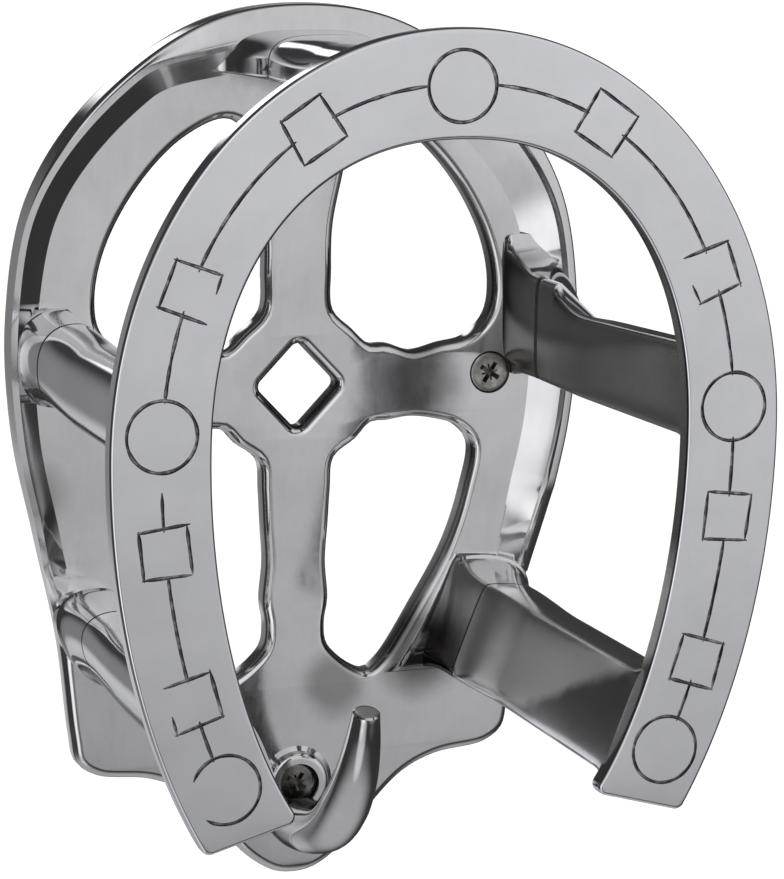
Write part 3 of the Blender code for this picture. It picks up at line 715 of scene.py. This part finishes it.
def stub_solid(name):
    """The stub that an arm is screwed to.

    It sweeps up from the rim. A right stub has a fillet towards the middle too; the top one draws in there.
    """
    top = SEAM_DEPTH - seam_half_gap(name)
    base = PLATE_THICKNESS - 1.5 * MM
    steps = 44
    outs = [base + (top - base) * (k / steps) ** 1.35 for k in range(steps + 1)]
    low_reach, high_reach, sweep_rise = STUB_SWEEPS[name]
    rings = []
    for out in outs:
        rise = out - PLATE_THICKNESS
        sweep = fillet(rise - 1.0 * MM, sweep_rise, 1.0)
        foot = fillet(rise, STUB_FILLET_RISE, STUB_FILLET_REACH) if name.endswith("right") else 0.0
        foot = -1.0 * MM * sweep if name == "top" else foot
        outer = (0.4 if name == "top" else 1.3) * MM * sweep
        rings.append(arm_ring(name, out, (low_reach * sweep, high_reach * sweep), foot, outer))
    return loft("stub_" + name, rings)


# ---------------------------------------------------------------- back casting


def ridge_widths(x, z):
    """How far in the rim's crest lies, the width of its inner slope, its height and the depth of its crease.

    The hand-ground right side is broader, stands higher and has the crease.
    """
    right = eased(x, 8 * MM, 40 * MM)
    crown = eased(z, 44 * MM, 55 * MM)
    crest = (0.95 + 1.4 * eased(z, 10 * MM, 43 * MM) + 4.4 * crown) * MM + 2.4 * MM * right * (1 - crown)
    slope = (3.8 + 1.4 * eased(z, -40 * MM, 20 * MM)) * MM + 1.9 * MM * right
    return crest, slope, RIDGE_HEIGHT + 0.6 * MM * right, 0.6 * MM * right * (1 - crown)


def ridge_section(x, z, rise):
    """The rim's section at a place on the outline, as inset from the outline and distance from the wall."""
    crest, slope, _, crease = ridge_widths(x, z)
    top = PLATE_THICKNESS + rise
    edge, lip, lip_rise = 0.03 * MM, 0.8 * MM, 1.1 * MM
    fall = (0.2 + 0.75 * eased(z, 40 * MM, 54 * MM)) * MM
    section = [(edge, PLATE_THICKNESS - 3.0 * MM), (edge, top - fall - lip_rise)]
    for j in range(1, 7):
        angle = math.pi / 2 * j / 6
        inset = edge + lip * (1 - math.cos(angle))
        section.append((inset, top - fall - lip_rise + lip_rise * math.sin(angle)))
    for j in range(1, 5):
        share = j / 4
        inset = edge + lip + (crest - 1.3 * MM - edge - lip) * share
        section.append((inset, top - fall * (1 - share) ** 1.5))
    wander = 0.35 * MM * noise.noise(Vector((x * 260, z * 260, 5.5)))
    section.append((crest - 0.75 * MM + wander, top - crease))
    for j in range(11):
        share = j / 10
        section.append((crest + slope * share, top - (rise + 0.1 * MM) * share ** 0.94))
    section.append((crest + slope, PLATE_THICKNESS - 3.0 * MM))
    return section


def ridge_solid():
    """The raised rim: a band swept from one lower stub over the crown to the other, low at both ends."""
    outline = plate_outline()
    on_right = [k for k, (x, _) in enumerate(outline) if x >= 0.0]
    lower = min(on_right, key=lambda k: abs(outline[k][1] - RIDGE_END_Z))
    path = mirrored(outline[1:lower + 1]) + outline[:lower + 1]
    rings = []
    for k, (x, z) in enumerate(path):
        before = Vector(path[max(k - 1, 0)])
        after = Vector(path[min(k + 1, len(path) - 1)])
        along = (after - before).normalized()
        inward = Vector((along.y, -along.x))
        rise = ridge_widths(x, z)[2] * min(1.0, min(k, len(path) - 1 - k) / 12)
        section = ridge_section(x, z, rise)
        rings.append([(x + inward.x * inset, -out, z + inward.y * inset) for inset, out in section])
    return loft("ridge", rings)


def hook_solid():
    """The tapered horn that rises in front of the plate, blunt at its tip."""
    line = [Vector((0.0, -out * MM, height * MM)) for out, height, _ in HOOK_LINE]
    radii = [radius * MM for _, _, radius in HOOK_LINE]
    centres, sizes = [], []
    for i in range(len(line) - 1):
        around = [line[max(i - 1, 0)], line[i], line[i + 1], line[min(i + 2, len(line) - 1)]]
        if i == 0:
            around[0] = line[0] * 2 - line[1]
        if i == len(line) - 2:
            around[3] = line[-1] * 2 - line[-2]
        for k in range(8):
            centres.append(Vector(catmull(*around, k / 8)))
            sizes.append(radii[i] + (radii[i + 1] - radii[i]) * k / 8)
    tip = (line[-1] - line[-2]).normalized()
    for step, share in HOOK_TIP:
        centres.append(line[-1] + tip * step * MM)
        sizes.append(radii[-1] * share)
    rings = []
    for i, (centre, radius) in enumerate(zip(centres, sizes)):
        along = (centres[min(i + 1, len(centres) - 1)] - centres[max(i - 1, 0)]).normalized()
        across = Vector((1.0, 0.0, 0.0))
        up = along.cross(across).normalized()
        rings.append([
            tuple(centre + (across * math.cos(a) + up * math.sin(a)) * radius)
            for a in (math.tau * k / 40 for k in range(40))
        ])
    return loft("hook", rings)


def boss_solid():
    """The raised ring round the bottom screw hole."""
    foot = BOSS_RADIUS + 2.2 * MM
    edge = BOSS_RADIUS - 0.6 * MM
    top = PLATE_THICKNESS + BOSS_HEIGHT - BOSS_EDGE_RADIUS
    profile = [(foot, PLATE_THICKNESS - 2.0 * MM), (foot, PLATE_THICKNESS - 0.3 * MM)]
    for k in range(7):
        angle = math.pi / 2 * k / 6
        profile.append((edge + BOSS_EDGE_RADIUS * math.cos(angle), top + BOSS_EDGE_RADIUS * math.sin(angle)))
    return turned("boss", profile, WALL_SCREW_XZ["wall_screw_bottom"])


def screw_pocket(name, centre, head_top, direction, length):
    """The clearance hole and countersink of one screw; direction is 1 out from the wall and -1 into it."""
    head = SCREW_HEAD_RADIUS + 0.3 * MM
    shank = SCREW_SHANK_RADIUS + 0.2 * MM
    steps = [
        (head, -5.0 * MM), (head, -0.3 * MM), (head, 0.3 * MM), (head, 0.6 * MM), (shank, 2.8 * MM),
        (shank, length + GAP),
    ]
    return turned(name, [(radius, head_top + direction * out) for radius, out in steps], centre)


def wall_screw_top(name):
    return PLATE_THICKNESS + (0.5 * MM if name == "wall_screw_bottom" else 0.0)


def arm_screw_centre(name):
    x, z = ARMS[right_twin(name)][0][0]
    return (-x * MM if name.endswith("left") else x * MM, z * MM)


def screw_pockets(metal, dirt_and_shade):
    """A cutter for every screw's hole: grime and painted shade inside, but metal down the side of the hole
    through the boss.
    """
    pockets = [
        screw_pocket("pocket_" + name, centre, wall_screw_top(name), -1, 30.0 * MM)
        for name, centre in WALL_SCREW_XZ.items()
    ]
    pockets += [
        screw_pocket("arm_pocket_" + name, arm_screw_centre(name), GAP, 1, 40.0 * MM) for name in ARM_NAMES
    ]
    cutter = joined("pockets", pockets)
    cutter.data.materials.append(dirt_and_shade)
    cutter.data.materials.append(metal)
    for face in cutter.data.polygons:
        in_boss = -SEAM_DEPTH < face.center.y < -PLATE_THICKNESS - 0.3 * MM
        face.material_index = 1 if in_boss and abs(face.normal.y) < 0.1 else 0
    return cutter


def build_back_casting(metal, dirt_and_shade):
    windows = [smooth_loop(metres(w), WINDOW_SPACING) for w in (UPPER_WINDOW, LOWER_WINDOW)]
    half_x, half_z = DIAMOND_HALF
    diamond = rounded_polygon([
        (half_x, DIAMOND_CENTRE_Z), (0.0, DIAMOND_CENTRE_Z + half_z),
        (-half_x, DIAMOND_CENTRE_Z), (0.0, DIAMOND_CENTRE_Z - half_z),
    ], DIAMOND_RADIUS, 6)
    loops = [plate_outline()] + windows + [mirrored(w) for w in windows] + [diamond]
    casting = flat_solid("plate", loops, PLATE_THICKNESS, 0.0, PLATE_EDGE_RADIUS)
    for solid in [ridge_solid(), hook_solid(), boss_solid()] + [stub_solid(name) for name in ARM_NAMES]:
        casting = combined(casting, solid, "UNION")
    casting.name = "back_casting"
    casting.data.materials.clear()
    casting.data.materials.append(metal)
    return shade(combined(cleaned(casting), screw_pockets(metal, dirt_and_shade)), 22.0)


# ---------------------------------------------------------------- front casting


def stroke(points, closed=False):
    """A cutter for one engraved line on the front face, hand-cut: its width and depth wander a little."""
    count = len(points)
    above = -0.35 * MM
    rings = []
    for k, (x, z) in enumerate(points):
        before = Vector(points[(k - 1) % count if closed else max(k - 1, 0)])
        after = Vector(points[(k + 1) % count if closed else min(k + 1, count - 1)])
        along = (after - before).normalized()
        across = Vector((-along.y, along.x))
        half = GROOVE_WIDTH / 2 * (1.0 + 0.35 * noise.noise(Vector((x * 420, z * 420, 3.1))))
        deep = GROOVE_DEPTH * (1.0 + 0.45 * noise.noise(Vector((x * 300, z * 300, 9.7))))
        if not closed:
            end = min(k, count - 1 - k)
            half *= min(1.0, 0.35 + 0.3 * end)
            deep *= min(1.0, 0.3 + 0.35 * end)
        right_side = ((half * 1.6, above), (half, 0.0), (half * 0.45, deep))
        section = right_side + tuple((-s, d) for s, d in reversed(right_side))
        rings.append([(x + across.x * s, -(DEPTH - d), z + across.y * s) for s, d in section])
    return loft("stroke", rings, closed)


def line_points(start, end, spacing=0.7 * MM):
    start, end = Vector(start), Vector(end)
    count = max(3, round((end - start).length / spacing))
    return [tuple(start.lerp(end, k / count)) for k in range(count + 1)]


def circle_points(centre, radius, first=0.0, last=360.0, count=56):
    """Points round a circle between two angles in degrees; a whole circle's last point isn't repeated."""
    span = math.radians(last - first)
    ends = 0 if last - first >= 360.0 else 1
    return [
        (centre[0] + radius * math.cos(math.radians(first) + span * k / count),
         centre[1] + radius * math.sin(math.radians(first) + span * k / count)) for k in range(count + ends)
    ]


def middle_lean(z):
    """The lean of the horseshoe's middle line at height z."""
    step = 0.5 * MM
    return math.atan2(horseshoe_x(z, MIDDLE_CURVE) - horseshoe_x(z - step, MIDDLE_CURVE), step)


def mark_strokes(x, z, lean, shape, worn):
    """The hand-cut lines of one circle or square, without the parts that are worn away."""
    if shape == "circle":
        if worn:
            return [stroke(circle_points((x, z), MARK_CIRCLE_RADIUS, *worn))]
        return [stroke(circle_points((x, z), MARK_CIRCLE_RADIUS), closed=True)]
    half = MARK_SQUARE_SIDE / 2
    spin = Matrix.Rotation(-lean, 2)
    strokes = []
    for quarter in range(4):
        turn = Matrix.Rotation(quarter * math.pi / 2, 2)
        over = [RNG.uniform(0.05, 0.55) * MM for _ in range(2)]
        tilt = RNG.uniform(-0.25, 0.25) * MM
        if quarter in worn:
            over[1] -= half * 1.25
        first = Vector((x, z)) + spin @ (turn @ Vector((-half - over[0], half - tilt)))
        last = Vector((x, z)) + spin @ (turn @ Vector((half + over[1], half + tilt)))
        strokes.append(stroke(line_points(first, last)))
    return strokes


def mark_centres(hand):
    """Every mark down one limb, from the circle on the crown: its centre, its shape and its reach."""
    marks = []
    for z, shape in zip(MARK_HEIGHTS, MARK_SHAPES):
        x = 0.0 if z == MARK_HEIGHTS[0] else hand * horseshoe_x(z, MIDDLE_CURVE)
        reach = MARK_CIRCLE_RADIUS if shape == "circle" else MARK_SQUARE_SIDE / 2
        marks.append((Vector((x, z)), shape, reach))
    return marks


def link_strokes(hand):
    """The engraved line down a limb, broken by the marks. On the left it has worn away under one circle."""
    limb = [(hand * x, z) for x, z in horseshoe_side(MIDDLE_CURVE, MARK_HEIGHTS[-1], 150)]
    marks = mark_centres(hand)
    strokes = []
    run = []
    for point in limb:
        clear = all((Vector(point) - centre).length > reach - 0.9 * MM for centre, _, reach in marks)
        worn = hand < 0 and WORN_LINK[0] < point[1] < WORN_LINK[1]
        if clear and not worn:
            run.append(point)
            continue
        if len(run) > 3:
            strokes.append(stroke(run))
        run = []
    return strokes


def engraving():
    """Every cutter: the crown's circle, then each limb's marks and the line that joins them."""
    strokes = mark_strokes(0.0, MARK_HEIGHTS[0], 0.0, "circle", ())
    for hand in (1.0, -1.0):
        for number, (centre, shape, _) in enumerate(mark_centres(hand)[1:], 1):
            worn = WORN_SIDES.get((round(hand), number), ())
            strokes += mark_strokes(centre.x, centre.y, hand * middle_lean(centre.y), shape, worn)
        strokes += link_strokes(hand)
    return strokes


def build_front_casting(metal, patina, joint):
    """The engraved face, the arms and the dark joints between them and the stubs."""
    face = flat_solid("horseshoe_face", [front_outline()], DEPTH, DEPTH - FRONT_THICKNESS, FRONT_EDGE_RADIUS)
    face.data.materials.append(metal)
    cutter = joined("engraving", engraving())
    cutter.data.materials.append(patina)
    face = combined(face, cutter, use_self=True)
    arms = joined("horseshoe_arms", [arm_solid(name) for name in ARM_NAMES])
    arms.data.materials.append(metal)
    seams = joined("seams", [seam_solid(name) for name in ARM_NAMES])
    seams.data.materials.append(joint)
    return shade(face, 25.0), shade(arms, 30.0), seams


# ---------------------------------------------------------------- screws


def screw_rings(length, pointed, count):
    """A screw's rings from its head down, each point as radius and distance from the head's top."""
    pitch, depth = (WOOD_PITCH, WOOD_THREAD_DEPTH) if pointed else (MACHINE_PITCH, MACHINE_THREAD_DEPTH)
    crest = SCREW_SHANK_RADIUS
    root = crest - depth
    rings = [[(radius * MM, out * MM)] * count for radius, out in SCREW_HEAD_PROFILE]
    steps = int((length - THREAD_START) / THREAD_STEP)
    for k in range(steps + 1):
        out = THREAD_START + (length - THREAD_START) * k / steps
        taper = max(0.06, min(1.0, (length - out) / WOOD_POINT_LENGTH)) if pointed else 1.0
        fade = min(1.0, k / 8)
        ring = []
        for j in range(count):
            phase = (out / pitch - j / count) % 1.0
            tooth = max(0.0, 1.0 - abs(phase - 0.5) * THREAD_SHARPNESS)
            ring.append(((root + (crest - root) * (tooth * fade + (1 - fade) * 0.3)) * taper, out))
        rings.append(ring)
    return rings


def recess_cutter(centre, head_top, direction):
    """A cutter for a cross recess with four thin ticks between its wings."""
    blades = []
    for turn, width, reach, deep in RECESS_BLADES:
        angle = math.radians(turn + RECESS_TURN)
        along = Vector((math.cos(angle), math.sin(angle)))
        across = Vector((-along.y, along.x))
        layers = []
        for out, share in ((-1.0, 1.0), (0.0, 1.0), (deep, 0.45)):
            end, side = reach * share, width / 2
            layers.append([
                (centre[0] + (along.x * u + across.x * v) * MM, -(head_top + direction * out * MM),
                 centre[1] + (along.y * u + across.y * v) * MM)
                for u, v in ((-end, -side), (end, -side), (end, side), (-end, side))
            ])
        blades.append(loft("blade", layers))
    return joined("recess", blades)


def screw_solid(name, centre, head_top, direction, length, pointed, zinc, dirt_and_shade):
    """A countersunk screw with a rounded rim, a cross recess and a rolled thread."""
    count = 48
    rings = [
        [(centre[0] + radius * math.cos(math.tau * j / count), -(head_top + direction * out),
          centre[1] + radius * math.sin(math.tau * j / count)) for j, (radius, out) in enumerate(ring)]
        for ring in screw_rings(length, pointed, count)
    ]
    piece = loft(name, rings)
    piece.data.materials.append(zinc)
    cutter = recess_cutter(centre, head_top, direction)
    cutter.data.materials.append(dirt_and_shade)
    return shade(combined(piece, cutter, use_self=True), 32.0)


# ---------------------------------------------------------------- light, floor and camera


def studio_world():
    """A pale studio. Polished metal sees soft lights and darker sides; everything else sees plain white."""
    world = bpy.data.worlds.new("studio")
    bpy.context.scene.world = world
    world.use_nodes = True
    n = Nodes(world.node_tree)
    way = n.add("TexCoord").outputs["Generated"]
    total = ROOM_STRENGTH
    for direction, inner, outer, strength in ROOM_LIGHTS:
        dot = n.vector("DOT_PRODUCT", way, tuple(Vector(direction).normalized()), "Value")
        edge_low, edge_high = math.cos(math.radians(outer)), math.cos(math.radians(inner))
        glow = n.math("MULTIPLY", n.remap(dot, edge_low, edge_high, smooth=True), strength)
        total = n.math("ADD", total, glow)
    seen = n.add("Background", {"Color": ROOM_TONE, "Strength": total}).outputs[0]
    white = n.add("Background", {"Color": (1.0, 1.0, 1.0, 1.0), "Strength": WHITE_STRENGTH}).outputs[0]
    glossy = n.add("LightPath").outputs["Is Glossy Ray"]
    mixed = n.add("MixShader", {0: glossy, 1: white, 2: seen}).outputs[0]
    n.add("OutputWorld", {"Surface": mixed})


def build_floor():
    """A wide pale floor well below the bracket, which hangs on a wall."""
    material, n = new_material("pale_floor")
    place = n.add("TexCoord").outputs["Object"]
    tone = n.blend(n.noise(place, 3.0), (0.93, 0.93, 0.93, 1.0), (0.96, 0.96, 0.96, 1.0))
    finish_material(material, n, {"Base Color": tone, "Roughness": 0.9})
    bm = bmesh.new()
    bmesh.ops.create_circle(bm, cap_ends=True, segments=96, radius=FLOOR_RADIUS)
    mesh = bpy.data.meshes.new("floor")
    bm.to_mesh(mesh)
    bm.free()
    floor = link("floor", mesh)
    floor.location = (0.0, 0.0, FLOOR_Z)
    floor.data.materials.append(material)
    floor.visible_glossy = False


def build_softbox():
    """A broad, weak softbox over the floor; the polished metal doesn't mirror it."""
    light = bpy.data.lights.new("softbox", "AREA")
    light.shape = "DISK"
    light.size = SOFTBOX_SIZE
    light.energy = SOFTBOX_POWER
    piece = link("softbox", light)
    piece.location = SOFTBOX_SPOT
    piece.rotation_mode = "QUATERNION"
    piece.rotation_quaternion = (-Vector(SOFTBOX_SPOT)).to_track_quat("-Z", "Y")
    piece.visible_glossy = False


def build_camera():
    camera = bpy.data.cameras.new("camera")
    camera.sensor_width = SENSOR_WIDTH
    camera.lens = CAMERA_LENS
    camera.clip_start = 0.01
    camera.clip_end = 20.0
    piece = link("camera", camera)
    piece.location = CAMERA_SPOT
    piece.rotation_mode = "QUATERNION"
    level = Vector(CAMERA_FORWARD).to_track_quat("-Z", "Y")
    piece.rotation_quaternion = level @ Quaternion((0.0, 0.0, 1.0), math.radians(CAMERA_ROLL))
    bpy.context.scene.camera = piece
    bpy.context.scene.view_settings.view_transform = "Standard"


# ---------------------------------------------------------------- the whole bracket


def main():
    back_metal = cast_metal("polished_back_casting", BACK_FINISH, PAINTED_SHADE_PATCHES)
    front_metal = cast_metal("polished_front_casting", FRONT_FINISH)
    patina = groove_patina()
    # Grime and painted shade for the screw holes, and near black for the joints
    dirt_and_shade = dark_dirt_and_shade("recess_dirt_and_shade", (0.07, 0.068, 0.062, 1.0), (0.20, 0.19, 0.17, 1.0), 0.7)
    # Joint colour: dirt in the seams together with painted shade of the gap
    joint = dark_dirt_and_shade("joint_dirt_and_shade", (0.008, 0.0075, 0.007, 1.0), (0.03, 0.026, 0.022, 1.0), 0.0)
    zinc = zinc_plate("dull_zinc", (0.52, 0.51, 0.48, 1.0), (0.27, 0.26, 0.23, 1.0), 0.26)
    dark_zinc = zinc_plate("darkened_zinc", (0.24, 0.235, 0.22, 1.0), (0.10, 0.095, 0.085, 1.0), 0.14)
    # The cross recesses get a darker zinc: painted shade in the recess
    recess = zinc_plate("screw_recess_painted_shade", (0.24, 0.235, 0.22, 1.0), (0.11, 0.105, 0.10, 1.0), 0.30)
    castings = [(build_back_casting(back_metal, dirt_and_shade), "back_plate")]
    castings += [(piece, "front_horseshoe") for piece in build_front_casting(front_metal, patina, joint)]
    for piece, node in castings:
        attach(piece, "root")
        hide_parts(node)
    for name, centre in WALL_SCREW_XZ.items():
        plating = dark_zinc if name == "wall_screw_bottom" else zinc
        top = wall_screw_top(name)
        piece = screw_solid(name + "_detail", centre, top, -1, WALL_SCREW_LENGTH, True, plating, recess)
        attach(piece, "root")
        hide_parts(name)
    for name in ARM_NAMES:
        node = "arm_screw_" + name
        centre = arm_screw_centre(name)
        piece = screw_solid(node + "_detail", centre, GAP, 1, ARM_SCREW_LENGTH, False, zinc, recess)
        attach(piece, "root")
        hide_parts(node)
    studio_world()
    build_floor()
    build_softbox()
    build_camera()


main()
